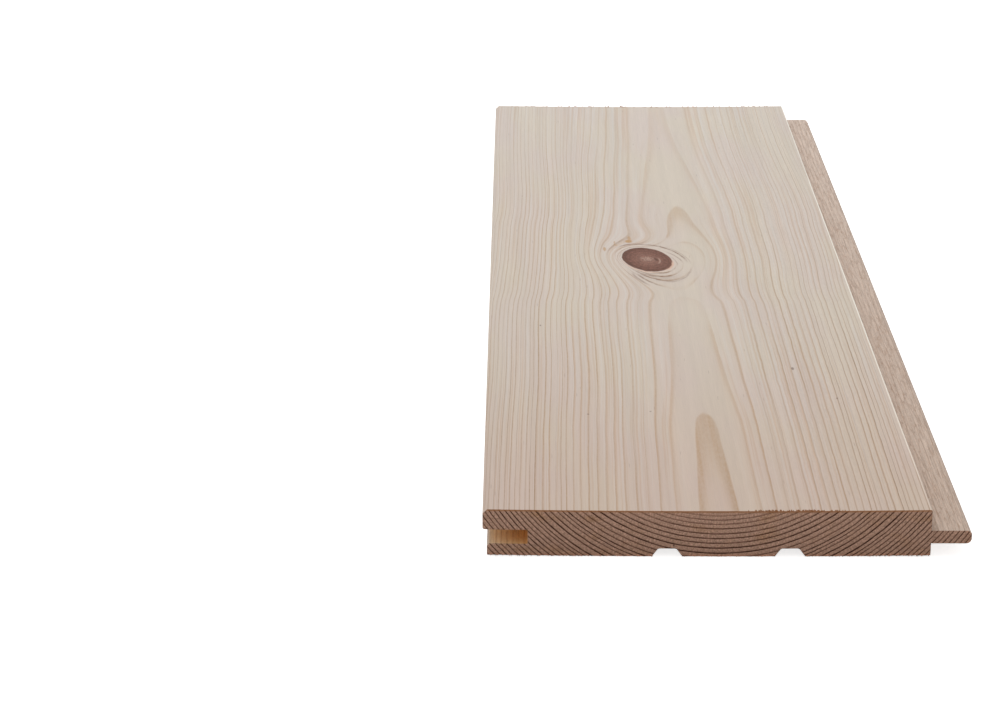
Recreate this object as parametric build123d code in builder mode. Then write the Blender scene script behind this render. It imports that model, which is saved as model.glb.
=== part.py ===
from build123d import *
import os

# A planed pine panelling board with a tongue on one long edge and a groove on the other.
# Sizes are in millimetres. X runs across the board towards the tongue, Y along the grain
# and Z up to the show face. The origin is under the middle of the board, on its back face.

board_length = 500.0
board_thickness = 15.0
cover_width = 133.0  # show face, from the groove edge to the shoulder over the tongue

tongue_length = 12.0
tongue_thickness = 4.2
tongue_depth = 6.8  # from the show face down to the top of the tongue
tongue_top_bevel = 1.0
tongue_under_radius = 1.6

tongue_play = 0.2  # gap above and below a tongue that is pushed home
tongue_end_gap = 1.4  # gap in front of its tip
groove_corner_radius = 0.4
back_lip_setback = 1.3  # the back lip stops short, so that the show faces close first

groove_edge_bevel_across = 1.4  # bevel of the show face along the groove edge
groove_edge_bevel_down = 1.4
face_lip_radius = 0.7  # rounding inside the mouth of the groove
back_lip_bevel = 0.8
shoulder_face_radius = 0.5
shoulder_back_radius = 0.4

channel_mouth = 9.0  # relief channels in the back, which let the board lie flat as it dries
channel_depth = 2.6
channel_wall_angle = 55.0
channel_corner_radius = 1.0
channel_spacing = 36.5
channels_off_middle = 0.6  # the pair lies this much nearer to the tongue

# Places that follow from the sizes above
overall_width = cover_width + tongue_length
groove_edge_x = -overall_width / 2
shoulder_x = groove_edge_x + cover_width
tongue_top_z = board_thickness - tongue_depth
tongue_under_z = tongue_top_z - tongue_thickness
groove_height = tongue_thickness + 2 * tongue_play
groove_depth = tongue_length + tongue_end_gap
groove_top_z = tongue_top_z + tongue_play
groove_floor_z = tongue_under_z - tongue_play
back_lip_x = groove_edge_x + back_lip_setback


def corner_at(sketch, across, up):
    """The corner of a section that lies nearest to a place across and up the board."""
    return sketch.vertices().sort_by_distance((across, up))[0]


# Tongue, seen from its end: it reaches back inside the board, so that the two fuse
with BuildSketch() as tongue_section:
    with Locations((groove_edge_x + overall_width, tongue_under_z)):
        Rectangle(2 * tongue_length, tongue_thickness, align=(Align.MAX, Align.MIN))
    tip = tongue_section.vertices().group_by(Axis.X)[-1].sort_by(Axis.Y)
    chamfer(tip[-1], tongue_top_bevel)
    tip = tongue_section.vertices().group_by(Axis.X)[-1].sort_by(Axis.Y)
    fillet(tip[0], tongue_under_radius)

# Groove, the space for the tongue of the next board, open towards its mouth
with BuildSketch() as groove_section:
    with Locations((groove_edge_x + groove_depth, groove_floor_z)):
        Rectangle(2 * groove_depth, groove_height, align=(Align.MAX, Align.MIN))
    fillet(groove_section.vertices().group_by(Axis.X)[-1], groove_corner_radius)

# One relief channel, standing on the back face
with BuildSketch() as channel_section:
    Trapezoid(
        channel_mouth,
        channel_depth,
        channel_wall_angle,
        align=(Align.CENTER, Align.MIN),
    )
    fillet(channel_section.vertices().group_by(Axis.Y)[-1], channel_corner_radius)

with BuildPart() as board:
    with BuildSketch(Plane.XZ) as section:
        with Locations((groove_edge_x, 0)):
            Rectangle(cover_width, board_thickness, align=(Align.MIN, Align.MIN))
        add(tongue_section.sketch)
        add(groove_section.sketch, mode=Mode.SUBTRACT)

        # the back lip is cut back, so that it never holds the next board's face away
        with Locations((groove_edge_x, 0)):
            Rectangle(
                back_lip_setback,
                groove_floor_z + groove_height / 2,
                align=(Align.MIN, Align.MIN),
                mode=Mode.SUBTRACT,
            )
        with Locations((channels_off_middle, 0)):
            with GridLocations(channel_spacing, 0, 2, 1):
                add(channel_section.sketch, mode=Mode.SUBTRACT)

        # arrises along the two edges
        groove_edge = corner_at(section, groove_edge_x, board_thickness)
        face_side = section.edges().sort_by(Axis.Y)[-1]
        chamfer(
            groove_edge,
            groove_edge_bevel_across,
            length2=groove_edge_bevel_down,
            reference=face_side,
        )
        fillet(corner_at(section, groove_edge_x, groove_top_z), face_lip_radius)
        chamfer(corner_at(section, back_lip_x, groove_floor_z), back_lip_bevel)
        fillet(corner_at(section, shoulder_x, board_thickness), shoulder_face_radius)
        fillet(corner_at(section, shoulder_x, 0), shoulder_back_radius)
    extrude(amount=board_length / 2, both=True)

board.part.label = "board"

os.makedirs("parts", exist_ok=True)
export_step(board.part, "parts/board.step")
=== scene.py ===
import math
import random

import bmesh
import bpy
from mathutils import Euler, Matrix, Vector, noise


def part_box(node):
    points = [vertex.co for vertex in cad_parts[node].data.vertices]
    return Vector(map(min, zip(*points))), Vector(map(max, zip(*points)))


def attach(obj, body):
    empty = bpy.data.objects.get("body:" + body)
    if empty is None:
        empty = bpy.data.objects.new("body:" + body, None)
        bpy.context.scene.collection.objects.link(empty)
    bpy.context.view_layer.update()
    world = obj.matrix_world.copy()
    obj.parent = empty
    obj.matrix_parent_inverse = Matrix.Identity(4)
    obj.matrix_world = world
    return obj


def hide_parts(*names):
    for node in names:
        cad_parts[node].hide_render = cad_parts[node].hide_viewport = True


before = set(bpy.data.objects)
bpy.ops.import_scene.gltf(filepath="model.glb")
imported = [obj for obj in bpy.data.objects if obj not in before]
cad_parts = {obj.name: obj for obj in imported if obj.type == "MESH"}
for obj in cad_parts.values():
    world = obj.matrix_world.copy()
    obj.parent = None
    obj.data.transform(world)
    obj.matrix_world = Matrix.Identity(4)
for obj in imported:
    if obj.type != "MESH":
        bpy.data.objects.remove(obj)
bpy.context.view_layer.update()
lowCorner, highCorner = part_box("board")
mm = 0.001

# Where things lie on the board. Across is measured from the groove edge, along from the
# front end and deep from the show face, all in millimetres, as a joiner would measure.
grooveEdge = lowCorner.x
frontEnd = lowCorner.y
showFace = highCorner.z
boardWidth = (highCorner.x - lowCorner.x) / mm
boardLength = (highCorner.y - lowCorner.y) / mm
boardThickness = (highCorner.z - lowCorner.z) / mm


def plugIn(tree, value, socket):
    if isinstance(value, bpy.types.NodeSocket):
        tree.links.new(value, socket)
    else:
        socket.default_value = value


def calc(tree, operation, *values, clamp=False):
    node = tree.nodes.new("ShaderNodeMath")
    node.operation = operation
    node.use_clamp = clamp
    for value, socket in zip(values, node.inputs):
        plugIn(tree, value, socket)
    return node.outputs[0]


def times(tree, first, second, clamp=False):
    return calc(tree, "MULTIPLY", first, second, clamp=clamp)


def minus(tree, first, second):
    return calc(tree, "SUBTRACT", first, second)


def timesPlus(tree, first, second, third):
    return calc(tree, "MULTIPLY_ADD", first, second, third)


def ramp(tree, value, low, high, outLow=0.0, outHigh=1.0, smooth=True):
    node = tree.nodes.new("ShaderNodeMapRange")
    node.interpolation_type = "SMOOTHSTEP" if smooth else "LINEAR"
    for socket, number in zip(node.inputs[0:5], (value, low, high, outLow, outHigh)):
        plugIn(tree, number, socket)
    return node.outputs[0]


def mixValue(tree, amount, first, second):
    return timesPlus(tree, minus(tree, second, first), amount, first)


def lengthOf(tree, x, y):
    squares = calc(tree, "ADD", times(tree, x, x), times(tree, y, y))
    return calc(tree, "SQRT", squares)


def vectorOf(tree, x, y, z):
    node = tree.nodes.new("ShaderNodeCombineXYZ")
    for value, socket in zip((x, y, z), node.inputs):
        plugIn(tree, value, socket)
    return node.outputs[0]


def scaled(tree, vector, x, y, z):
    node = tree.nodes.new("ShaderNodeVectorMath")
    node.operation = "MULTIPLY"
    tree.links.new(vector, node.inputs[0])
    node.inputs[1].default_value = (x, y, z)
    return node.outputs[0]


def noiseAt(tree, vector, detail=2.0, roughness=0.5, scale=1.0):
    node = tree.nodes.new("ShaderNodeTexNoise")
    tree.links.new(vector, node.inputs["Vector"])
    node.inputs["Scale"].default_value = scale
    node.inputs["Detail"].default_value = detail
    node.inputs["Roughness"].default_value = roughness
    return node.outputs["Fac"]


def frayed(tree, value, pattern, amount):
    # an outline pushed in and out by a pattern that runs from 0 to 1
    return timesPlus(tree, minus(tree, pattern, 0.5), amount, value)


def curveOf(tree, value, points, low, high):
    # a smooth line through given points, which takes and gives plain numbers
    bottom = min(p[1] for p in points)
    top = max(p[1] for p in points)
    node = tree.nodes.new("ShaderNodeFloatCurve")
    line = node.mapping.curves[0]
    for index, (place, height) in enumerate(points):
        spot = ((place - low) / (high - low), (height - bottom) / (top - bottom))
        if index < 2:
            line.points[index].location = spot
        else:
            line.points.new(*spot)
    node.mapping.update()
    tree.links.new(ramp(tree, value, low, high, smooth=False), node.inputs["Value"])
    return timesPlus(tree, node.outputs[0], top - bottom, bottom)


def mixColour(tree, amount, first, second, blend="MIX"):
    node = tree.nodes.new("ShaderNodeMix")
    node.data_type = "RGBA"
    node.blend_type = blend
    plugIn(tree, amount, node.inputs[0])
    plugIn(tree, first, node.inputs[6])
    plugIn(tree, second, node.inputs[7])
    return node.outputs[2]


def srgb(*channels):
    # the colour as it is read off a screen, turned into the light that Blender works in
    linear = [((c / 255 + 0.055) / 1.055) ** 2.4 if c > 10 else c / 3294.6 for c in channels]
    return (*linear, 1.0)


board = {
    "coverWidth": 133.0,  # show face, from the groove edge to the shoulder over the tongue
    "cup": 0.48,  # the two edges stand this much higher than the middle
    "endTrim": 0.3,
    "cell": 0.5,  # mesh cells across the section
    "rows": 70,
    "edgeBevel": 1.45,  # anything this far under the show face belongs to the milled edges
    "sawnArris": 0.17,  # width of the worn edge round the two sawn ends
    "tornFrom": 78.0,  # fibres stand torn along this stretch of the front arris
    "tornTo": 110.0,
    "tornFibres": 90,
    "tornWide": (0.18, 0.34),  # from and to, and so on below
    "tornTall": (0.15, 0.5),
    "hangingFibres": 160,
    "hangingWide": (0.1, 0.2),
    "hangingTall": (0.05, 0.25),
    "farFibres": 70,
    "farMargin": 6.0,
    "farWide": (0.25, 0.6),
    "farTall": (0.12, 0.45),
    "tornBand": (0.05, 0.35),  # how far in from the sawn end they stand
}

figure = {
    # where the pith line runs over the board, as (along, millimetres)
    "pithAcross": [
        (0, 70.0), (60, 70.5), (125, 71.2), (180, 71.3), (222, 72.3), (260, 73.6),
        (300, 74.1), (335, 75.0), (380, 74.4), (440, 73.7), (500, 74.2),
    ],
    "pithAbove": [
        (0, 45.0), (50, 45.18), (76, 45.27), (86, 45.4), (125, 45.83), (180, 46.1), (200, 46.35),
        (208, 46.8), (216, 47.15), (224, 47.25), (257, 47.25), (290, 47.53), (315, 47.86),
        (336, 48.15), (380, 48.66), (440, 49.17), (500, 49.36),
    ],
    # towards the back the rings on the left stand further out from the middle
    "leftSpread": [
        (0, 1.0), (150, 1.016), (230, 0.97), (300, 0.846), (375, 0.87), (440, 0.943), (500, 0.99),
    ],
    "innerRing": 34.0,  # distance from the pith to the first ring that the board could show
    "ringWidths": [
        2.1, 1.9, 1.7, 1.6, 1.5, 1.4, 1.2, 1.3, 1.4, 1.4, 1.5, 1.7, 1.55, 1.55, 1.6, 1.7,
        1.6, 1.5, 1.5, 1.1, 1.1, 1.5, 1.4, 1.9, 1.2, 1.0, 1.3, 1.2, 1.3, 1.2, 1.4, 1.2,
        1.3, 1.2, 1.3, 1.3, 1.2, 1.4, 1.2, 1.3, 1.2, 1.3, 1.2, 1.3,
    ],
    "ringStrengths": [
        0.5, 0.5, 0.5, 0.55, 0.5, 0.45, 0.35, 0.2, 0.41, 0.25, 0.41, 0.4, 0.51, 0.47, 0.58, 0.56,
        0.34, 0.38, 0.7, 0.65, 0.36, 0.58, 0.61, 0.86, 0.65, 0.5, 0.48, 0.42, 0.62, 0.58, 0.58,
        0.42, 0.55, 0.42, 0.5, 0.4, 0.5, 0.48, 0.55, 0.5, 0.58, 0.52, 0.56, 0.55,
    ],
    # how orange the late wood is across the board; the rest of it is greyer
    "lateWarmth": [
        (0, 0.2), (14, 0.35), (20, 0.9), (60, 1.0), (84, 0.8), (104, 0.6), (118, 0.2), (145, 0.1),
    ],
    "slowDrift": 0.16,
    "quickDrift": 0.1,
    "flutter": 0.045,  # the short waves of the lines on the tongue side
    "sideLag": 0.12,  # away from the middle each ring comes this share of a season later
}

knot = {
    "across": 59.8,
    "along": 255.9,
    "halfWide": 9.2,
    "halfLong": 15.8,
    "turn": -0.2,
    "leanAcross": -0.26,  # how far the branch drifts for each millimetre deeper in the board
    "leanAlong": 0.55,
    "swell": 0.012,
    "ragged": 0.02,
    # how many millimetres of growth the branch drags outwards: close by it fades fastest at
    # the back, further off two wide swells make up the rest (amount, off across, off along,
    # reach across, reach along)
    "nearPull": 3.0,
    "nearFade": 6.5,
    "fadeRight": 0.3,
    "fadeBack": 4.9,
    "farPulls": [(10.7, 0.0, 6.4, 16.8, 26.7), (-8.8, 0.3, 14.3, 13.6, 24.8)],
}


def flatPlace(tree):
    # the board cupped after it grew, so the figure is found on the flat board
    place = tree.nodes.new("ShaderNodeTexCoord")
    parts = tree.nodes.new("ShaderNodeSeparateXYZ")
    tree.links.new(place.outputs["Object"], parts.inputs[0])
    across = timesPlus(tree, parts.outputs[0], 1 / mm, -grooveEdge / mm)
    along = timesPlus(tree, parts.outputs[1], 1 / mm, -frontEnd / mm)
    height = times(tree, parts.outputs[2], 1 / mm)
    side = timesPlus(tree, across, 2 / board["coverWidth"], -1.0)
    side = calc(tree, "MINIMUM", times(tree, side, side), 1.0)
    flat = timesPlus(tree, side, -board["cup"], height)
    flat = times(tree, flat, 1 / (1 - board["cup"] / boardThickness))
    return across, along, minus(tree, boardThickness, flat)


def pithDistance(tree, across, along, deep):
    # the pith runs above the board
    pithAcross = curveOf(tree, along, figure["pithAcross"], 0, boardLength)
    pithAbove = curveOf(tree, along, figure["pithAbove"], 0, boardLength)
    sideways = minus(tree, across, pithAcross)
    upwards = calc(tree, "ADD", deep, pithAbove)
    spread = curveOf(tree, along, figure["leftSpread"], 0, boardLength)
    nearLeft = ramp(tree, sideways, 0.0, -12.0)
    onLeft = times(tree, nearLeft, ramp(tree, sideways, -52.0, -30.0))
    spread = timesPlus(tree, minus(tree, spread, 1.0), onLeft, 1.0)
    return sideways, lengthOf(tree, times(tree, sideways, spread), upwards)


def wavering(tree, spot, sideways, outward, radius):
    # the rings waver, more so towards the edges, where they stand steeper
    def wave(pattern, low, high, reach):
        return ramp(tree, pattern, low, high, -reach, reach, smooth=False)

    slow = noiseAt(tree, scaled(tree, spot, 0.03, 0.007, 0.03), detail=1.0)
    quick = noiseAt(tree, scaled(tree, spot, 0.2, 0.04, 0.2), detail=2.0)
    drift = calc(
        tree, "ADD",
        wave(slow, 0.2, 0.8, figure["slowDrift"]),
        wave(quick, 0.2, 0.8, figure["quickDrift"]),
    )
    radius = timesPlus(tree, drift, ramp(tree, outward, 4.0, 35.0, 0.15, 1.0), radius)
    flutter = noiseAt(tree, scaled(tree, spot, 0.16, 0.13, 0.16), detail=1.0)
    flutter = wave(flutter, 0.25, 0.75, figure["flutter"])
    return timesPlus(tree, flutter, ramp(tree, sideways, 4.0, 28.0), radius)


def branchOval(tree, spot, across, along, deep):
    # the branch is an oval that leans as it runs down through the board: how far it stands
    # off, how far out that is in ovals, and the same along its two axes
    fromKnot = minus(tree, across, knot["across"])
    offAcross = timesPlus(tree, deep, -knot["leanAcross"], fromKnot)
    fromKnot = minus(tree, along, knot["along"])
    offAlong = timesPlus(tree, deep, -knot["leanAlong"], fromKnot)
    cosine, sine = math.cos(knot["turn"]), math.sin(knot["turn"])
    swell = timesPlus(tree, deep, knot["swell"], 1.0)
    knotWide = times(tree, offAlong, -sine / knot["halfWide"])
    knotWide = timesPlus(tree, offAcross, cosine / knot["halfWide"], knotWide)
    knotWide = calc(tree, "DIVIDE", knotWide, swell)
    knotLong = times(tree, offAlong, cosine / knot["halfLong"])
    knotLong = timesPlus(tree, offAcross, sine / knot["halfLong"], knotLong)
    knotLong = calc(tree, "DIVIDE", knotLong, swell)
    ragged = noiseAt(tree, scaled(tree, spot, 0.35, 0.2, 0.35), detail=2.0)
    ragged = ramp(tree, ragged, 0.2, 0.8, -knot["ragged"], knot["ragged"], smooth=False)
    oval = calc(tree, "ADD", lengthOf(tree, knotWide, knotLong), ragged)
    return offAcross, offAlong, knotWide, knotLong, oval


def draggedOut(tree, radius, offAcross, offAlong, gap, toRight, toBack):
    # near the branch the growth is dragged outwards with it, so the rings crowd round the knot
    fade = timesPlus(tree, toRight, knot["fadeRight"], knot["nearFade"])
    fade = calc(tree, "MAXIMUM", timesPlus(tree, toBack, knot["fadeBack"], fade), 0.3)
    pull = calc(tree, "EXPONENT", times(tree, times(tree, gap, fade), -1.0))
    radius = timesPlus(tree, pull, -knot["nearPull"], radius)
    for amount, right, back, wide, long in knot["farPulls"]:
        away = lengthOf(
            tree,
            times(tree, minus(tree, offAcross, right), 1 / wide),
            times(tree, minus(tree, offAlong, back), 1 / long),
        )
        pull = calc(tree, "EXPONENT", times(tree, times(tree, away, away), -1.0))
        radius = timesPlus(tree, pull, -amount, radius)
    return radius


def makeFigure():
    # The wood's own figure, worked out through the solid, so that a ring that shows on the
    # face runs on down the end, the edges and the back.
    tree = bpy.data.node_groups.new("growthRings", "ShaderNodeTree")
    across, along, deep = flatPlace(tree)
    spot = vectorOf(tree, across, along, deep)
    sideways, radius = pithDistance(tree, across, along, deep)
    outward = calc(tree, "ABSOLUTE", sideways)
    radius = wavering(tree, spot, sideways, outward, radius)
    offAcross, offAlong, knotWide, knotLong, oval = branchOval(tree, spot, across, along, deep)
    gap = calc(tree, "MAXIMUM", minus(tree, oval, 1.0), 0.0)
    middling = calc(tree, "MAXIMUM", oval, 0.3)
    toRight = calc(tree, "DIVIDE", knotWide, middling)
    toBack = calc(tree, "DIVIDE", knotLong, middling)
    radius = draggedOut(tree, radius, offAcross, offAlong, gap, toRight, toBack)

    # count the rings out from the pith
    rings = [(figure["innerRing"], 0.0)]
    for width in figure["ringWidths"]:
        rings.append((rings[-1][0] + width, rings[-1][1] + 1.0))
    count = curveOf(tree, radius, rings, rings[0][0], rings[-1][0])
    count = minus(tree, count, ramp(tree, outward, 4.0, 16.0, 0.0, figure["sideLag"]))
    season = calc(tree, "FRACT", count)
    number = calc(tree, "ADD", calc(tree, "FLOOR", count), 0.5)
    strengths = [(index + 0.5, value) for index, value in enumerate(figure["ringStrengths"])]

    # pale early growth turns tan, and the late wood is a thin dark line that ends sharply
    ended = ramp(tree, season, 1.0, 0.95)
    band = calc(tree, "POWER", ramp(tree, season, 0.15, 0.9, smooth=False), 3.5)
    # faint stripes within a season, side by side with its line
    stripe = vectorOf(tree, times(tree, count, 4.5), times(tree, along, 0.005), 0.0)

    results = {
        "line": times(tree, ramp(tree, season, 0.74, 0.89), ended),
        "wideLine": times(tree, ramp(tree, season, 0.6, 0.86), ended),
        "band": times(tree, band, ended),
        "stripe": noiseAt(tree, stripe),
        "strength": curveOf(tree, number, strengths, 0.5, len(strengths) - 0.5),
        "warmth": curveOf(tree, across, figure["lateWarmth"], 0, boardWidth),
        "outward": outward,
        "steep": ramp(tree, outward, 5.0, 15.0),
        "oval": oval,
        "gap": gap,
        "knotWide": knotWide,
        "knotLong": knotLong,
        "toRight": toRight,
        "across": across,
        "along": along,
        "deep": deep,
    }
    out = tree.nodes.new("NodeGroupOutput")
    for name, socket in results.items():
        tree.interface.new_socket(name, in_out="OUTPUT", socket_type="NodeSocketFloat")
        tree.links.new(socket, out.inputs[name])
    return tree


print("Growth rings")
growthRings = makeFigure()


def startFinish(name):
    # a new material with the figure in it, and a place in millimetres for its patterns
    material = bpy.data.materials.new(name)
    material.use_nodes = True
    tree = material.node_tree
    rings = tree.nodes.new("ShaderNodeGroup")
    rings.node_tree = growthRings
    spot = vectorOf(tree, rings.outputs["across"], rings.outputs["along"], rings.outputs["deep"])
    return material, tree, tree.nodes["Principled BSDF"], rings.outputs, spot


def tint(tree, colour, amount, low, high):
    # lighter or darker by a pattern that runs from 0 to 1
    level = ramp(tree, amount, 0.25, 0.75, low, high, smooth=False)
    return mixColour(tree, 1.0, colour, vectorOf(tree, level, level, level), "MULTIPLY")


def addBump(tree, shader, layers):
    # each layer is a height from 0 to 1 and how many millimetres that stands for
    normal = None
    for height, depth in layers:
        node = tree.nodes.new("ShaderNodeBump")
        node.inputs["Distance"].default_value = depth * mm
        tree.links.new(height, node.inputs["Height"])
        if normal is not None:
            tree.links.new(normal, node.inputs["Normal"])
        normal = node.outputs[0]
    tree.links.new(normal, shader.inputs["Normal"])


def specks(tree, spot, scale, size, share):
    # scattered dots or dashes: how they are stretched, how big they are and how many cells
    # hold one
    cells = tree.nodes.new("ShaderNodeTexVoronoi")
    tree.links.new(scaled(tree, spot, *scale), cells.inputs["Vector"])
    cells.inputs["Scale"].default_value = 1.0
    dot = ramp(tree, cells.outputs["Distance"], size, size * 0.4)
    lot = tree.nodes.new("ShaderNodeSeparateColor")
    tree.links.new(cells.outputs["Color"], lot.inputs[0])
    return times(tree, dot, ramp(tree, lot.outputs[0], 1.0 - share, 1.0 - share + 0.03))


def lateWood(tree, rings, colour, shown, tan, late):
    # first the tan band of the season's turn, then its dark line
    amount = times(tree, rings["strength"], mixValue(tree, rings["steep"], 1.15, 0.45))
    amount = times(tree, rings["band"], calc(tree, "ADD", amount, 0.1))
    colour = mixColour(tree, times(tree, amount, shown), colour, tan)
    beside = times(tree, rings["toRight"], rings["toRight"])
    near = times(tree, ramp(tree, rings["gap"], 0.9, 0.3), ramp(tree, beside, 0.7, 0.35))
    line = mixValue(tree, near, rings["line"], rings["wideLine"])
    amount = times(tree, line, rings["strength"])
    return mixColour(tree, times(tree, amount, shown, clamp=True), colour, late)


def knotArc(tree, rings, radius, wide, fromTurn, toTurn):
    # part of an oval about the knot, between two turns from the tongue side round to the back
    turn = calc(tree, "ARCTAN2", rings["knotLong"], rings["knotWide"])
    if toTurn > 180:
        turn = calc(tree, "WRAP", turn, 2 * math.pi, 0.0)
    low, high = math.radians(fromTurn), math.radians(toTurn)
    middle, half = (low + high) / 2, (high - low) / 2
    off = calc(tree, "ABSOLUTE", minus(tree, turn, middle))
    inReach = ramp(tree, off, half, half * 0.3)
    centre = ramp(tree, turn, low, high, radius[0], radius[1], smooth=False)
    off = calc(tree, "ABSOLUTE", minus(tree, rings["oval"], centre))
    return times(tree, ramp(tree, off, wide, wide * 0.25), inReach)


def dropsOf(tree, rings, ragged, drops):
    # a list of drops or specks, one mask for all of them
    mask = 0.0
    for across, along, wide, long, strength in drops:
        right = times(tree, minus(tree, rings["across"], across), 1 / wide)
        back = times(tree, minus(tree, rings["along"], along), 1 / long)
        away = frayed(tree, lengthOf(tree, right, back), ragged, 0.5)
        drop = times(tree, ramp(tree, away, 1.2, 0.5), strength)
        mask = calc(tree, "MAXIMUM", mask, drop)
    return times(tree, mask, ramp(tree, rings["deep"], 2.0, 0.5))


knotWood = {
    "heart": srgb(139, 99, 84),
    "body": srgb(119, 79, 65),
    "rim": srgb(86, 52, 38),
    "pith": srgb(186, 150, 134),
    "smudge": srgb(112, 62, 34),
    "crescent": srgb(226, 186, 164),
    # dark arcs of crowded growth round the knot: radius at both ends (1 is the knot's own
    # outline), half width, the turns where it starts and ends, strength
    "arcs": [
        ((1.62, 1.25), 0.07, -24.0, 86.0, 0.7), ((1.25, 1.4), 0.065, 50.0, 136.0, 0.55),
        ((1.44, 1.1), 0.05, -24.0, 38.0, 0.42), ((1.24, 1.04), 0.04, -40.0, 12.0, 0.3),
        ((1.74, 1.5), 0.05, -26.0, 46.0, 0.28), ((1.08, 1.08), 0.02, 120.0, 230.0, 0.3),
        ((1.17, 1.16), 0.02, 125.0, 225.0, 0.25), ((1.27, 1.25), 0.022, 130.0, 215.0, 0.2),
        ((1.13, 1.23), 0.045, 198.0, 308.0, 0.36), ((1.18, 1.58), 0.065, 218.0, 298.0, 0.6),
        ((1.24, 2.0), 0.09, 227.0, 291.0, 0.56), ((1.96, 1.7), 0.06, 262.0, 336.0, 0.34),
        ((1.26, 2.28), 0.1, 226.0, 266.0, 0.5), ((1.34, 2.24), 0.11, 219.0, 253.0, 0.42),
        ((1.45, 1.75), 0.35, 232.0, 305.0, 0.16),
    ],
    # pinkish crescents along its lower side and the pale arc by its pith, in the same order
    "crescents": [
        ((1.02, 1.01), 0.075, -80.0, -2.0, 0.85), ((1.05, 1.06), 0.055, 170.0, 290.0, 0.68),
    ],
    "paleArcs": [((0.5, 0.5), 0.05, -60.0, 20.0, 0.7)],
    "ringTurns": 38.0,  # how fast the branch's own rings follow each other
    "roughness": 0.6,
}


def arcsOf(tree, rings, arcs):
    # a list of arcs, one mask for all of them
    mask = 0.0
    for radius, wide, fromTurn, toTurn, strength in arcs:
        arc = times(tree, knotArc(tree, rings, radius, wide, fromTurn, toTurn), strength)
        mask = calc(tree, "MAXIMUM", mask, arc)
    return mask


def branchWood(tree, rings, blotch, rays, mottle):
    # rings round the branch's own pith, rays and a dark rim
    warped = timesPlus(tree, blotch, 0.2, rings["oval"])
    branchRings = calc(tree, "SINE", times(tree, warped, knotWood["ringTurns"]))
    darker = ramp(tree, warped, 0.25, 0.85)
    inside = mixColour(tree, darker, knotWood["heart"], knotWood["body"])
    rim = timesPlus(tree, rings["toRight"], -0.25, 0.45)
    rim = times(tree, ramp(tree, rings["oval"], 0.7, 0.98), rim)
    inside = mixColour(tree, rim, inside, knotWood["rim"])
    inside = tint(tree, inside, timesPlus(tree, branchRings, 0.25, 0.5), 0.9, 1.1)
    inside = tint(tree, inside, blotch, 0.8, 1.2)
    inside = tint(tree, inside, rays, 0.84, 1.16)
    return tint(tree, inside, mottle, 0.72, 1.3)


def addKnot(tree, rings, spot, colour):
    # crowded dark lines outside the branch, from its back round to its tongue side
    crumble = noiseAt(tree, scaled(tree, spot, 0.5, 0.3, 0.5), detail=3.0)
    smudge = arcsOf(tree, rings, knotWood["arcs"])
    smudge = times(tree, smudge, ramp(tree, crumble, 0.3, 0.6, 0.45, 1.0))
    colour = mixColour(tree, smudge, colour, knotWood["smudge"])

    blotch = noiseAt(tree, scaled(tree, spot, 0.5, 0.36, 0.5), detail=4.0, roughness=0.6)
    turn = calc(tree, "ARCTAN2", rings["knotLong"], rings["knotWide"])
    around = vectorOf(tree, calc(tree, "SINE", turn), calc(tree, "COSINE", turn), 0.0)
    rays = noiseAt(tree, around, detail=4.0, roughness=0.7, scale=6.0)
    mottle = noiseAt(tree, scaled(tree, spot, 1.5, 0.55, 1.5), detail=3.0, roughness=0.75)
    inside = branchWood(tree, rings, blotch, rays, mottle)

    # the pith shows as a pale star just off the middle, with a dark eye and a pale arc on
    # its tongue side
    starAcross = minus(tree, rings["knotWide"], 0.05)
    starAlong = times(tree, minus(tree, rings["knotLong"], 0.06), 1.3)
    away = frayed(tree, lengthOf(tree, starAcross, starAlong), rays, 0.5)
    away = frayed(tree, away, blotch, 0.5)
    star = times(tree, ramp(tree, away, 0.32, 0.1), ramp(tree, mottle, 0.4, 0.54, 0.15, 1.0))
    eye = lengthOf(tree, minus(tree, rings["knotWide"], 0.36), rings["knotLong"])
    eye = ramp(tree, frayed(tree, eye, blotch, 0.4), 0.16, 0.04)
    inside = mixColour(tree, times(tree, eye, 0.7), inside, knotWood["rim"])
    paleArc = arcsOf(tree, rings, knotWood["paleArcs"])
    pale = calc(tree, "MAXIMUM", times(tree, star, 0.8), paleArc)
    inside = mixColour(tree, pale, inside, knotWood["pith"])
    knotMask = ramp(tree, rings["oval"], 1.02, 0.975)
    colour = mixColour(tree, knotMask, colour, inside)
    crescents = arcsOf(tree, rings, knotWood["crescents"])
    colour = mixColour(tree, crescents, colour, knotWood["crescent"])
    knotHeight = times(tree, knotMask, timesPlus(tree, pale, -0.6, blotch))
    return colour, knotMask, knotHeight


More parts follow.
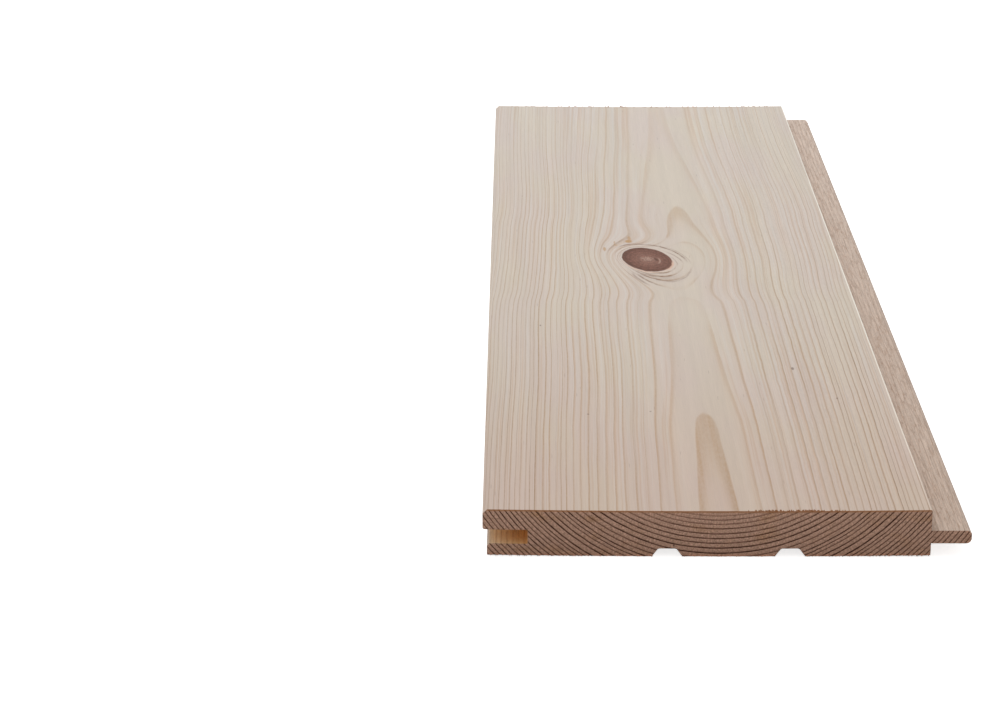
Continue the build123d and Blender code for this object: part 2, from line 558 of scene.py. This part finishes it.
planed = {
    "early": srgb(216, 200, 186),
    "cream": srgb(217, 202, 183),
    "rosy": srgb(216, 197, 187),
    "stripe": srgb(202, 170, 142),
    "cool": srgb(219, 208, 199),
    # painted highlight along the shoulder arris
    "arrisHighlight": srgb(252, 241, 227),
    "tan": srgb(202, 169, 136),
    "orangeLate": srgb(168, 130, 86),
    "greyLate": srgb(150, 122, 98),
    "crowdedLate": srgb(122, 82, 56),
    "halo": srgb(220, 201, 188),
    "honey": srgb(190, 146, 98),
    "speck": srgb(100, 74, 60),
    # painted light: darker and warmer at the front, lighter and cooler towards the back, as the
    # light falls along the board
    "frontLitTone": (0.962, 0.925, 0.911, 1.0),
    "midLitTone": (1.005, 1.045, 1.062, 1.0),
    "backLitTone": (0.97, 1.025, 1.065, 1.0),
    # how clearly the figure shows along the board, on the groove side and on the tongue side
    "shownLeft": [
        (0, 0.92), (100, 0.9), (200, 0.78), (300, 0.65), (360, 0.57), (445, 0.39), (500, 0.33),
    ],
    "shownRight": [
        (0, 1.1), (100, 1.05), (160, 0.96), (250, 0.7), (360, 0.43), (445, 0.34), (500, 0.3),
    ],
    "fadedPatch": (72.0, 198.0, 13.0, 34.0),  # across, along, half width, half length
    # resin that bled out behind the knot: across, along, half width, half length, strength
    "resin": [
        (53.6, 280.2, 1.6, 2.4, 0.85), (53.9, 284.0, 0.8, 3.4, 0.6), (43.9, 269.5, 0.7, 3.0, 0.65),
        (48.3, 275.0, 0.9, 0.9, 0.6), (48.0, 278.5, 0.35, 2.5, 0.5),
    ],
    # small dark specks, in the same order
    "pinSpecks": [
        (103.5, 128.5, 0.55, 1.7, 0.6), (115.3, 98.5, 0.35, 1.0, 0.5),
        (18.4, 174.6, 0.35, 1.0, 0.5), (33.2, 83.4, 0.4, 0.7, 0.5), (53.5, 86.3, 0.4, 0.6, 0.4),
    ],
    "roughness": 0.6,
    "shine": 0.08,
}


def figureShown(tree, rings, streak, fleck):
    # the figure fades where the face runs nearly along it on the tongue side of the knot
    quiet = times(tree, ramp(tree, rings["toRight"], 0.2, 0.6), ramp(tree, rings["gap"], 1.5, 1.2))
    quiet = times(tree, quiet, ramp(tree, rings["knotLong"], -2.0, -1.3))
    shown = ramp(tree, streak, 0.3, 0.7, 0.65, 1.1)
    shown = times(tree, shown, ramp(tree, fleck, 0.3, 0.7, 0.8, 1.1))
    shown = times(tree, shown, mixValue(tree, quiet, 1.0, 0.25))
    across, along, wide, long = planed["fadedPatch"]
    away = lengthOf(
        tree,
        timesPlus(tree, rings["across"], 1 / wide, -across / wide),
        timesPlus(tree, rings["along"], 1 / long, -along / long),
    )
    shown = times(tree, shown, ramp(tree, away, 0.6, 1.1, 0.3, 1.0))
    shownLeft = curveOf(tree, rings["along"], planed["shownLeft"], 0, boardLength)
    shownRight = curveOf(tree, rings["along"], planed["shownRight"], 0, boardLength)
    clear = mixValue(tree, ramp(tree, rings["across"], 66.0, 84.0), shownLeft, shownRight)
    shown = times(tree, shown, clear)

    # it crowds in front of the branch and behind it, and fades on its two sides
    beside = times(tree, rings["toRight"], rings["toRight"])
    crowding = mixValue(tree, ramp(tree, beside, 0.4, 0.95), 2.2, 0.45)
    crowding = mixValue(tree, ramp(tree, rings["gap"], 1.3, 0.2), 1.0, crowding)
    return times(tree, shown, crowding)


def addStripes(tree, rings, colour):
    warm = times(tree, ramp(tree, rings["stripe"], 0.52, 0.68, 0.0, 0.4), rings["steep"])
    colour = mixColour(tree, warm, colour, planed["stripe"])
    cool = times(tree, ramp(tree, rings["stripe"], 0.47, 0.34, 0.0, 0.5), rings["steep"])
    return mixColour(tree, cool, colour, planed["cool"])


def addSpecks(tree, rings, spot, fleck, colour):
    # short thin resin canals along the grain, a few dark specks and the drops of resin
    canals = specks(tree, spot, (0.8, 0.06, 0.8), 0.16, 0.16)
    colour = mixColour(tree, times(tree, canals, 0.2), colour, planed["speck"])
    dots = specks(tree, spot, (0.07, 0.045, 0.07), 0.022, 0.4)
    colour = mixColour(tree, times(tree, dots, 0.6), colour, planed["speck"])
    dots = dropsOf(tree, rings, fleck, planed["pinSpecks"])
    colour = mixColour(tree, dots, colour, planed["speck"])
    drops = dropsOf(tree, rings, fleck, planed["resin"])
    return mixColour(tree, drops, colour, planed["honey"])


def shoulderHighlight(tree, rings, streak):
    # painted highlight: the rounded arris along the shoulder is painted as one pale line, where it
    # would catch the light
    shoulder = board["coverWidth"]
    mask = times(
        tree,
        ramp(tree, rings["across"], shoulder - 0.75, shoulder - 0.5),
        ramp(tree, rings["deep"], 0.7, 0.3),
    )
    mask = times(tree, mask, ramp(tree, streak, 0.3, 0.5, 0.5, 1.0))
    return times(tree, mask, ramp(tree, rings["along"], 5.0, 50.0, 0.35, 1.0))


def planedMaterial():
    material, tree, shader, rings, spot = startFinish("planedPine")
    fibre = noiseAt(tree, scaled(tree, spot, 3.4, 0.06, 3.4), detail=3.0, roughness=0.65)
    streak = noiseAt(tree, scaled(tree, spot, 0.6, 0.006, 0.6), detail=3.0)
    broad = noiseAt(tree, scaled(tree, spot, 0.14, 0.003, 0.14), detail=2.0)
    cloud = noiseAt(tree, scaled(tree, spot, 0.045, 0.012, 0.045), detail=2.0)
    fleck = noiseAt(tree, scaled(tree, spot, 1.5, 0.35, 1.5), detail=2.0, roughness=0.6)

    colour = mixColour(tree, ramp(tree, cloud, 0.35, 0.65), planed["rosy"], planed["cream"])
    colour = mixColour(tree, 0.5, colour, planed["early"])
    halo = calc(tree, "POWER", ramp(tree, rings["gap"], 0.6, 0.0), 2.0)
    colour = mixColour(tree, times(tree, halo, 0.8), colour, planed["halo"])

    # the late wood darkens where it crowds round the knot
    late = mixColour(tree, rings["warmth"], planed["greyLate"], planed["orangeLate"])
    crowded = ramp(tree, rings["gap"], 1.6, 0.2)
    late = mixColour(tree, crowded, late, planed["crowdedLate"])
    shown = figureShown(tree, rings, streak, fleck)
    colour = lateWood(tree, rings, colour, shown, planed["tan"], late)
    colour = addStripes(tree, rings, colour)
    soft = tint(tree, colour, fibre, 0.95, 1.05)
    coarse = tint(tree, tint(tree, colour, fibre, 0.93, 1.07), fleck, 0.96, 1.04)
    colour = mixColour(tree, ramp(tree, rings["across"], 70.0, 110.0), soft, coarse)
    colour = tint(tree, colour, streak, 0.975, 1.025)
    colour = tint(tree, colour, broad, 0.965, 1.035)
    colour = addSpecks(tree, rings, spot, fleck, colour)
    # painted highlight: a pale line along the shoulder arris
    colour = mixColour(tree, shoulderHighlight(tree, rings, streak), colour, planed["arrisHighlight"])
    colour, knotMask, knotHeight = addKnot(tree, rings, spot, colour)

    # painted light: the colour is painted darker and warmer at the front and lighter and cooler
    # towards the back, as the light falls along the board
    towardsBack = ramp(tree, rings["along"], 0.0, boardLength, smooth=False)
    nearHalf = ramp(tree, towardsBack, 0.0, 0.4)
    litTone = mixColour(tree, nearHalf, planed["frontLitTone"], planed["midLitTone"])
    litTone = mixColour(tree, ramp(tree, towardsBack, 0.4, 1.0), litTone, planed["backLitTone"])
    colour = mixColour(tree, 1.0, colour, litTone, "MULTIPLY")
    tree.links.new(colour, shader.inputs["Base Color"])
    rough = timesPlus(tree, rings["line"], -0.08, planed["roughness"])
    rough = timesPlus(tree, fibre, 0.08, rough)
    rough = mixValue(tree, knotMask, rough, knotWood["roughness"])
    tree.links.new(rough, shader.inputs["Roughness"])
    shader.inputs["Specular IOR Level"].default_value = planed["shine"]
    addBump(tree, shader, [(rings["line"], 0.03), (fibre, 0.03), (knotHeight, 0.12)])
    return material


print("Planed face")
planedPine = planedMaterial()

sawn = {
    "early": srgb(192, 153, 132),
    "gold": srgb(180, 138, 107),
    "tan": srgb(138, 99, 74),
    "late": srgb(50, 18, 4),
    "glow": srgb(212, 156, 128),
    # painted highlight on the top arris of the end
    "topArrisHighlight": srgb(168, 116, 78),
    "speck": srgb(58, 34, 24),
    "roughness": 0.85,
    "shine": 0.08,
}


def sawnMaterial():
    material, tree, shader, rings, spot = startFinish("sawnEnd")
    grit = noiseAt(tree, scaled(tree, spot, 1.5, 0.4, 1.5), detail=3.0, roughness=0.75)
    worn = noiseAt(tree, scaled(tree, spot, 0.35, 0.2, 0.35), detail=2.0)
    pores = noiseAt(tree, scaled(tree, spot, 2.2, 0.4, 2.2), detail=1.0)
    patch = noiseAt(tree, scaled(tree, spot, 0.1, 0.05, 0.2), detail=2.0)
    colour = mixColour(tree, ramp(tree, patch, 0.5, 0.85), sawn["early"], sawn["gold"])

    # light comes through the thin edges and warms them
    lowEdge = ramp(tree, rings["deep"], boardThickness - 1.3, boardThickness - 0.2)
    farEdge = times(tree, ramp(tree, rings["across"], boardWidth - 4.0, boardWidth), 0.2)
    glow = calc(tree, "MAXIMUM", lowEdge, farEdge)
    colour = mixColour(tree, times(tree, glow, 0.7), colour, sawn["glow"])

    # the tongue's end is a shade darker, and the lines are fainter at the top of the middle
    shoulder = board["coverWidth"]
    onTongue = ramp(tree, rings["across"], shoulder - 2.0, shoulder + 1.0)
    band = calc(tree, "MAXIMUM", rings["band"], times(tree, onTongue, 0.18))
    colour = mixColour(tree, times(tree, band, 0.6), colour, sawn["tan"])
    line = timesPlus(tree, rings["strength"], 1.6, 0.1)
    topMiddle = ramp(tree, rings["deep"], 4.5, 1.0)
    topMiddle = times(tree, topMiddle, ramp(tree, rings["outward"], 34.0, 18.0))
    line = times(tree, line, mixValue(tree, topMiddle, 1.0, 0.5))
    line = times(tree, rings["wideLine"], line, clamp=True)
    line = times(tree, line, ramp(tree, worn, 0.3, 0.6, 0.65, 1.0))
    line = times(tree, line, ramp(tree, grit, 0.35, 0.5, 0.7, 1.0))
    colour = mixColour(tree, line, colour, sawn["late"])
    canals = specks(tree, spot, (0.28, 0.05, 0.28), 0.12, 0.25)
    colour = mixColour(tree, times(tree, canals, 0.7), colour, sawn["speck"])
    colour = tint(tree, colour, grit, 0.58, 1.36)
    colour = tint(tree, colour, pores, 0.72, 1.26)
    # painted highlight: a warm amber line along the top arris of the end
    arrisHighlight = ramp(tree, rings["deep"], 0.75, 0.2, 0.0, 0.85)
    colour = mixColour(tree, arrisHighlight, colour, sawn["topArrisHighlight"])
    tree.links.new(colour, shader.inputs["Base Color"])
    shader.inputs["Roughness"].default_value = sawn["roughness"]
    shader.inputs["Specular IOR Level"].default_value = sawn["shine"]
    addBump(tree, shader, [(grit, 0.12), (rings["wideLine"], 0.06)])
    return material


print("Sawn ends")
sawnEnd = sawnMaterial()

milled = {
    "early": srgb(209, 188, 172),
    "tan": srgb(190, 162, 138),
    "late": srgb(158, 126, 103),
    # painted light and shade in the groove, from its mouth to deep inside
    "grooveMouth": srgb(255, 226, 188),
    "deepGroove": srgb(244, 198, 140),
    "grooveLine": srgb(184, 124, 72),
    "grooveTop": 6.6,  # the golden light lies between these two depths
    "grooveFloor": 11.2,
    "grooveSoft": 0.6,
    "grooveEnd": (20.0, 16.0),  # it fades across here
    # painted light: lighter and cooler towards the back
    "backLitTone": (1.04, 1.08, 1.12, 1.0),
    "roughness": 0.8,
    "shine": 0.25,
}


def addPaintedGrooveLight(tree, rings, fibre, fuzz, colour):
    # painted light and shade: down in the groove the light only comes off other wood, so the colour
    # is painted pale at the mouth and deep orange further in
    across, deep = rings["across"], rings["deep"]
    top, floor, soft = milled["grooveTop"], milled["grooveFloor"], milled["grooveSoft"]
    inGroove = times(tree, ramp(tree, deep, top - soft, top), ramp(tree, deep, floor + soft, floor))
    inGroove = times(tree, inGroove, ramp(tree, across, *milled["grooveEnd"]))
    inGroove = times(tree, inGroove, ramp(tree, across, 0.0, 3.5, 0.3, 1.0))
    inwards = ramp(tree, across, 1.0, 12.0)
    grooveLightColour = mixColour(tree, inwards, milled["grooveMouth"], milled["deepGroove"])
    line = times(tree, rings["wideLine"], 0.3)
    grooveLightColour = mixColour(tree, line, grooveLightColour, milled["grooveLine"])
    grooveLightColour = tint(tree, tint(tree, grooveLightColour, fibre, 0.86, 1.08), fuzz, 0.92, 1.06)
    return mixColour(tree, inGroove, colour, grooveLightColour)


def milledMaterial():
    material, tree, shader, rings, spot = startFinish("milledEdge")
    fuzz = noiseAt(tree, scaled(tree, spot, 1.3, 0.32, 1.3), detail=5.0, roughness=0.75)
    fibre = noiseAt(tree, scaled(tree, spot, 2.6, 0.08, 2.6), detail=3.0)
    pile = noiseAt(tree, scaled(tree, spot, 3.2, 1.1, 3.2), detail=3.0, roughness=0.7)
    shown = ramp(tree, fuzz, 0.4, 0.65, 0.3, 1.0)
    colour = lateWood(tree, rings, milled["early"], shown, milled["tan"], milled["late"])

    # fine curled hairs of torn fibre
    curl = noiseAt(tree, scaled(tree, spot, 0.7, 0.045, 0.7), detail=3.0, roughness=0.55)
    hair = ramp(tree, calc(tree, "ABSOLUTE", minus(tree, curl, 0.5)), 0.05, 0.0)
    hair = times(tree, hair, ramp(tree, fuzz, 0.4, 0.6, 0.25, 0.6))
    colour = mixColour(tree, hair, colour, milled["late"])
    colour = tint(tree, colour, fuzz, 0.86, 1.16)
    colour = tint(tree, colour, pile, 0.88, 1.14)
    colour = tint(tree, colour, fibre, 0.86, 1.14)
    # painted light and shade inside the groove
    colour = addPaintedGrooveLight(tree, rings, fibre, fuzz, colour)
    colour = addKnot(tree, rings, spot, colour)[0]
    # painted light: the milled edges are painted lighter and cooler towards the back, as the light
    # falls along the board
    towardsBack = ramp(tree, rings["along"], 60.0, boardLength, smooth=False)
    litBackColour = mixColour(tree, 1.0, colour, milled["backLitTone"], "MULTIPLY")
    colour = mixColour(tree, towardsBack, colour, litBackColour)
    tree.links.new(colour, shader.inputs["Base Color"])
    shader.inputs["Roughness"].default_value = milled["roughness"]
    shader.inputs["Specular IOR Level"].default_value = milled["shine"]
    addBump(tree, shader, [(fuzz, 0.25), (pile, 0.12), (rings["line"], 0.03)])
    return material


print("Milled edges")
milledEdge = milledMaterial()


def sectionFromCad(bm):
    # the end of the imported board, as one clean face
    bm.from_mesh(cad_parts["board"].data)
    bmesh.ops.remove_doubles(bm, verts=bm.verts, dist=1e-6)
    bmesh.ops.dissolve_limit(
        bm, angle_limit=math.radians(1), use_dissolve_boundaries=False,
        verts=bm.verts, edges=bm.edges,
    )
    others = [f for f in bm.faces if f.normal.y > -0.9]
    bmesh.ops.delete(bm, geom=others, context="FACES")


def cutEvery(bm, step, axis):
    low = min(v.co[axis] for v in bm.verts)
    high = max(v.co[axis] for v in bm.verts)
    count = round((high - low) / step)
    normal = Vector((0, 0, 0))
    normal[axis] = 1
    for index in range(1, count):
        place = normal * (low + (high - low) * index / count)
        geom = bm.verts[:] + bm.edges[:] + bm.faces[:]
        bmesh.ops.bisect_plane(bm, geom=geom, dist=2e-6, plane_co=place, plane_no=normal)


def cupped(x, z):
    # the two edges stand a little higher than the middle
    side = min(abs((x - grooveEdge) / mm / board["coverWidth"] * 2 - 1), 1.0)
    return z * (1 - board["cup"] / boardThickness) + board["cup"] * mm * side * side


def wearSawnArris(bm, rim, halfLength):
    # the saw's arrises are broken a little, and more where the wood crumbled
    for v in bm.verts:
        if v[rim] and abs(v.co.y) > halfLength - 0.01 * mm:
            wear = board["sawnArris"] * mm * (0.75 + 0.45 * noise.noise(v.co * 900))
            v.co.y -= math.copysign(wear, v.co.y)
            if v.co.z < 1 * mm:
                v.co.z += 0.15 * mm * max(noise.noise(v.co * 1400), 0.0)


def addFibre(bm, dice, place, wide, tall):
    # one crumb or short stub of fibre, moved in where it would stand out of the solid's box
    lean = Euler((dice.uniform(-0.5, 0.5), dice.uniform(-0.5, 0.5), dice.uniform(0, 3)))
    crumb = bmesh.ops.create_cone(
        bm, cap_ends=True, segments=6, radius1=wide * mm, radius2=wide * 0.35 * mm,
        depth=2 * tall * mm, matrix=Matrix.LocRotScale(place, lean, None),
    )["verts"]
    outFront = max(lowCorner.y - min(v.co.y for v in crumb), 0)
    outBack = max(max(v.co.y for v in crumb) - highCorner.y, 0)
    outBelow = max(lowCorner.z - min(v.co.z for v in crumb), 0)
    outAbove = max(max(v.co.z for v in crumb) - highCorner.z, 0)
    bmesh.ops.translate(bm, vec=(0, outFront - outBack, outBelow - outAbove), verts=crumb)
    for v in crumb:
        for face in v.link_faces:
            face.material_index = 1


def addFaceFibre(bm, dice, x, y, widths, heights):
    # a fibre on the show face, no taller than the solid's box leaves room for
    place = Vector((x, y, cupped(x, showFace)))
    room = (showFace - place.z) / mm - 0.02
    wide = dice.uniform(*widths)
    addFibre(bm, dice, place, wide, min(dice.uniform(*heights), room))


def tearFibres(bm, halfLength):
    # the saw tore fibres up along the front arris and the far one, and left finer ones
    # hanging under the front
    dice = random.Random(5)
    front = -halfLength + 0.3 * mm
    lower = [v.co.copy() for v in bm.verts if v.co.y < front and v.co.z < 0.5 * mm]
    for index in range(board["tornFibres"]):
        x = grooveEdge + dice.triangular(board["tornFrom"], board["tornTo"]) * mm
        y = -halfLength + dice.uniform(*board["tornBand"]) * mm
        addFaceFibre(bm, dice, x, y, board["tornWide"], board["tornTall"])
    for index in range(board["hangingFibres"]):
        place = dice.choice(lower)
        tall = min(dice.uniform(*board["hangingTall"]), place.z / mm - 0.03)
        if tall > board["hangingTall"][0]:
            addFibre(bm, dice, place, dice.uniform(*board["hangingWide"]), tall)
    margin = board["farMargin"]
    for index in range(board["farFibres"]):
        x = grooveEdge + dice.uniform(margin, board["coverWidth"] - margin) * mm
        y = halfLength - dice.uniform(*board["tornBand"]) * mm
        addFaceFibre(bm, dice, x, y, board["farWide"], board["farTall"])


def runAlongGrain(bm):
    # the flat section becomes the whole board, in rows that stand closer towards the ends
    rows = board["rows"]
    bmesh.ops.spin(
        bm, geom=bm.verts[:] + bm.edges[:] + bm.faces[:], cent=(0, 0, 0), axis=(0, 1, 0),
        dvec=(0, boardLength * mm / rows, 0), angle=0, steps=rows,
    )
    bmesh.ops.remove_doubles(bm, verts=bm.verts, dist=1e-7)
    bmesh.ops.recalc_face_normals(bm, faces=bm.faces)
    halfLength = (boardLength / 2 - board["endTrim"]) * mm
    for v in bm.verts:
        v.co.y = halfLength * math.sin(math.pi * v.co.y / (boardLength * mm))
        v.co.z = cupped(v.co.x, v.co.z)
    return halfLength


def makeBoard():
    bm = bmesh.new()
    sectionFromCad(bm)
    bmesh.ops.inset_region(
        bm, faces=bm.faces[:], thickness=board["sawnArris"] * mm,
        use_boundary=True, use_even_offset=True,
    )
    cutEvery(bm, board["cell"] * mm, 0)
    cutEvery(bm, board["cell"] * mm, 2)
    rim = bm.verts.layers.int.new("rim")
    for edge in bm.edges:
        for v in edge.verts:
            v[rim] = max(v[rim], int(edge.is_boundary))
    halfLength = runAlongGrain(bm)
    wearSawnArris(bm, rim, halfLength)
    for face in bm.faces:
        middle = face.calc_center_median()
        if abs(middle.y) > halfLength - 0.15 * mm:
            face.material_index = 1
        elif middle.z < showFace - board["edgeBevel"] * mm:
            face.material_index = 2
    tearFibres(bm, halfLength)
    print("  open edges", sum(1 for e in bm.edges if not e.is_manifold))
    mesh = bpy.data.meshes.new("pine_board")
    bm.to_mesh(mesh)
    bm.free()
    plank = bpy.data.objects.new("pine_board", mesh)
    bpy.context.scene.collection.objects.link(plank)
    for material in (planedPine, sawnEnd, milledEdge):
        mesh.materials.append(material)
    print("  triangles", sum(len(p.vertices) - 2 for p in mesh.polygons))
    return plank


print("Board")
plank = makeBoard()
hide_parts("board")
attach(plank, "root")

studio = {
    "floorSize": 6.0,
    "floorGlow": 0.75,
    "floorColour": (0.86, 0.86, 0.86, 1.0),
    "floorRoughness": 0.9,
    "skyLight": 0.5,
    "lampPlace": (-0.3, 1.1, 1.7),
    "lampSize": 1.6,
    "lampPower": 22.0,
}


def makeFloor():
    bm = bmesh.new()
    bmesh.ops.create_grid(bm, x_segments=1, y_segments=1, size=studio["floorSize"])
    mesh = bpy.data.meshes.new("floor")
    bm.to_mesh(mesh)
    bm.free()
    floor = bpy.data.objects.new("floor", mesh)
    bpy.context.scene.collection.objects.link(floor)
    material = bpy.data.materials.new("paleFloor")
    material.use_nodes = True
    tree = material.node_tree
    shader = tree.nodes["Principled BSDF"]
    shader.inputs["Base Color"].default_value = studio["floorColour"]
    shader.inputs["Roughness"].default_value = studio["floorRoughness"]
    path = tree.nodes.new("ShaderNodeLightPath")
    seen = calc(tree, "MAXIMUM", path.outputs["Is Camera Ray"], path.outputs["Is Glossy Ray"])
    tree.links.new(times(tree, seen, studio["floorGlow"]), shader.inputs["Emission Strength"])
    shader.inputs["Emission Color"].default_value = (1, 1, 1, 1)
    mesh.materials.append(material)


def makeSky():
    # white where it is looked at, and dimmer where it only lights the board
    world = bpy.data.worlds.new("studioSky")
    world.use_nodes = True
    bpy.context.scene.world = world
    tree = world.node_tree
    path = tree.nodes.new("ShaderNodeLightPath")
    seen = calc(tree, "MAXIMUM", path.outputs["Is Camera Ray"], path.outputs["Is Glossy Ray"])
    seen = calc(tree, "MAXIMUM", seen, path.outputs["Is Transmission Ray"])
    sky = tree.nodes["Background"]
    sky.inputs["Color"].default_value = (1, 1, 1, 1)
    glow = ramp(tree, seen, 0.0, 1.0, studio["skyLight"], 1.0, smooth=False)
    tree.links.new(glow, sky.inputs["Strength"])


def makeLamp():
    lamp = bpy.data.lights.new("softbox", "AREA")
    lamp.shape = "SQUARE"
    lamp.size = studio["lampSize"]
    lamp.energy = studio["lampPower"]
    softbox = bpy.data.objects.new("softbox", lamp)
    softbox.location = studio["lampPlace"]
    softbox.rotation_euler = (-softbox.location).to_track_quat("-Z", "Y").to_euler()
    bpy.context.scene.collection.objects.link(softbox)


print("Studio")
makeFloor()
makeSky()
makeLamp()

view = {
    "place": (-62.1, -1014.7, 324.7),
    "pitch": 18.921,
    "yaw": -0.386,
    "roll": 0.046,
    "focalPixels": 2789.0,
    "imageWidth": 1000,
    "filmWidth": 36.0,
    "nearest": 0.05,  # nothing nearer or further than this, in metres, is drawn
    "furthest": 20.0,
}


def makeCamera():
    lens = bpy.data.cameras.new("camera")
    lens.sensor_width = view["filmWidth"]
    lens.lens = lens.sensor_width * view["focalPixels"] / view["imageWidth"]
    lens.clip_start = view["nearest"]
    lens.clip_end = view["furthest"]
    camera = bpy.data.objects.new("camera", lens)
    camera.location = Vector(view["place"]) * mm
    tilt = Euler((math.radians(90 - view["pitch"]), 0, math.radians(-view["yaw"]))).to_matrix()
    roll = Euler((0, 0, math.radians(-view["roll"]))).to_matrix()
    camera.rotation_euler = (tilt @ roll).to_euler()
    bpy.context.scene.collection.objects.link(camera)
    bpy.context.scene.camera = camera


print("Camera")
makeCamera()
bpy.context.scene.view_settings.view_transform = "Standard"
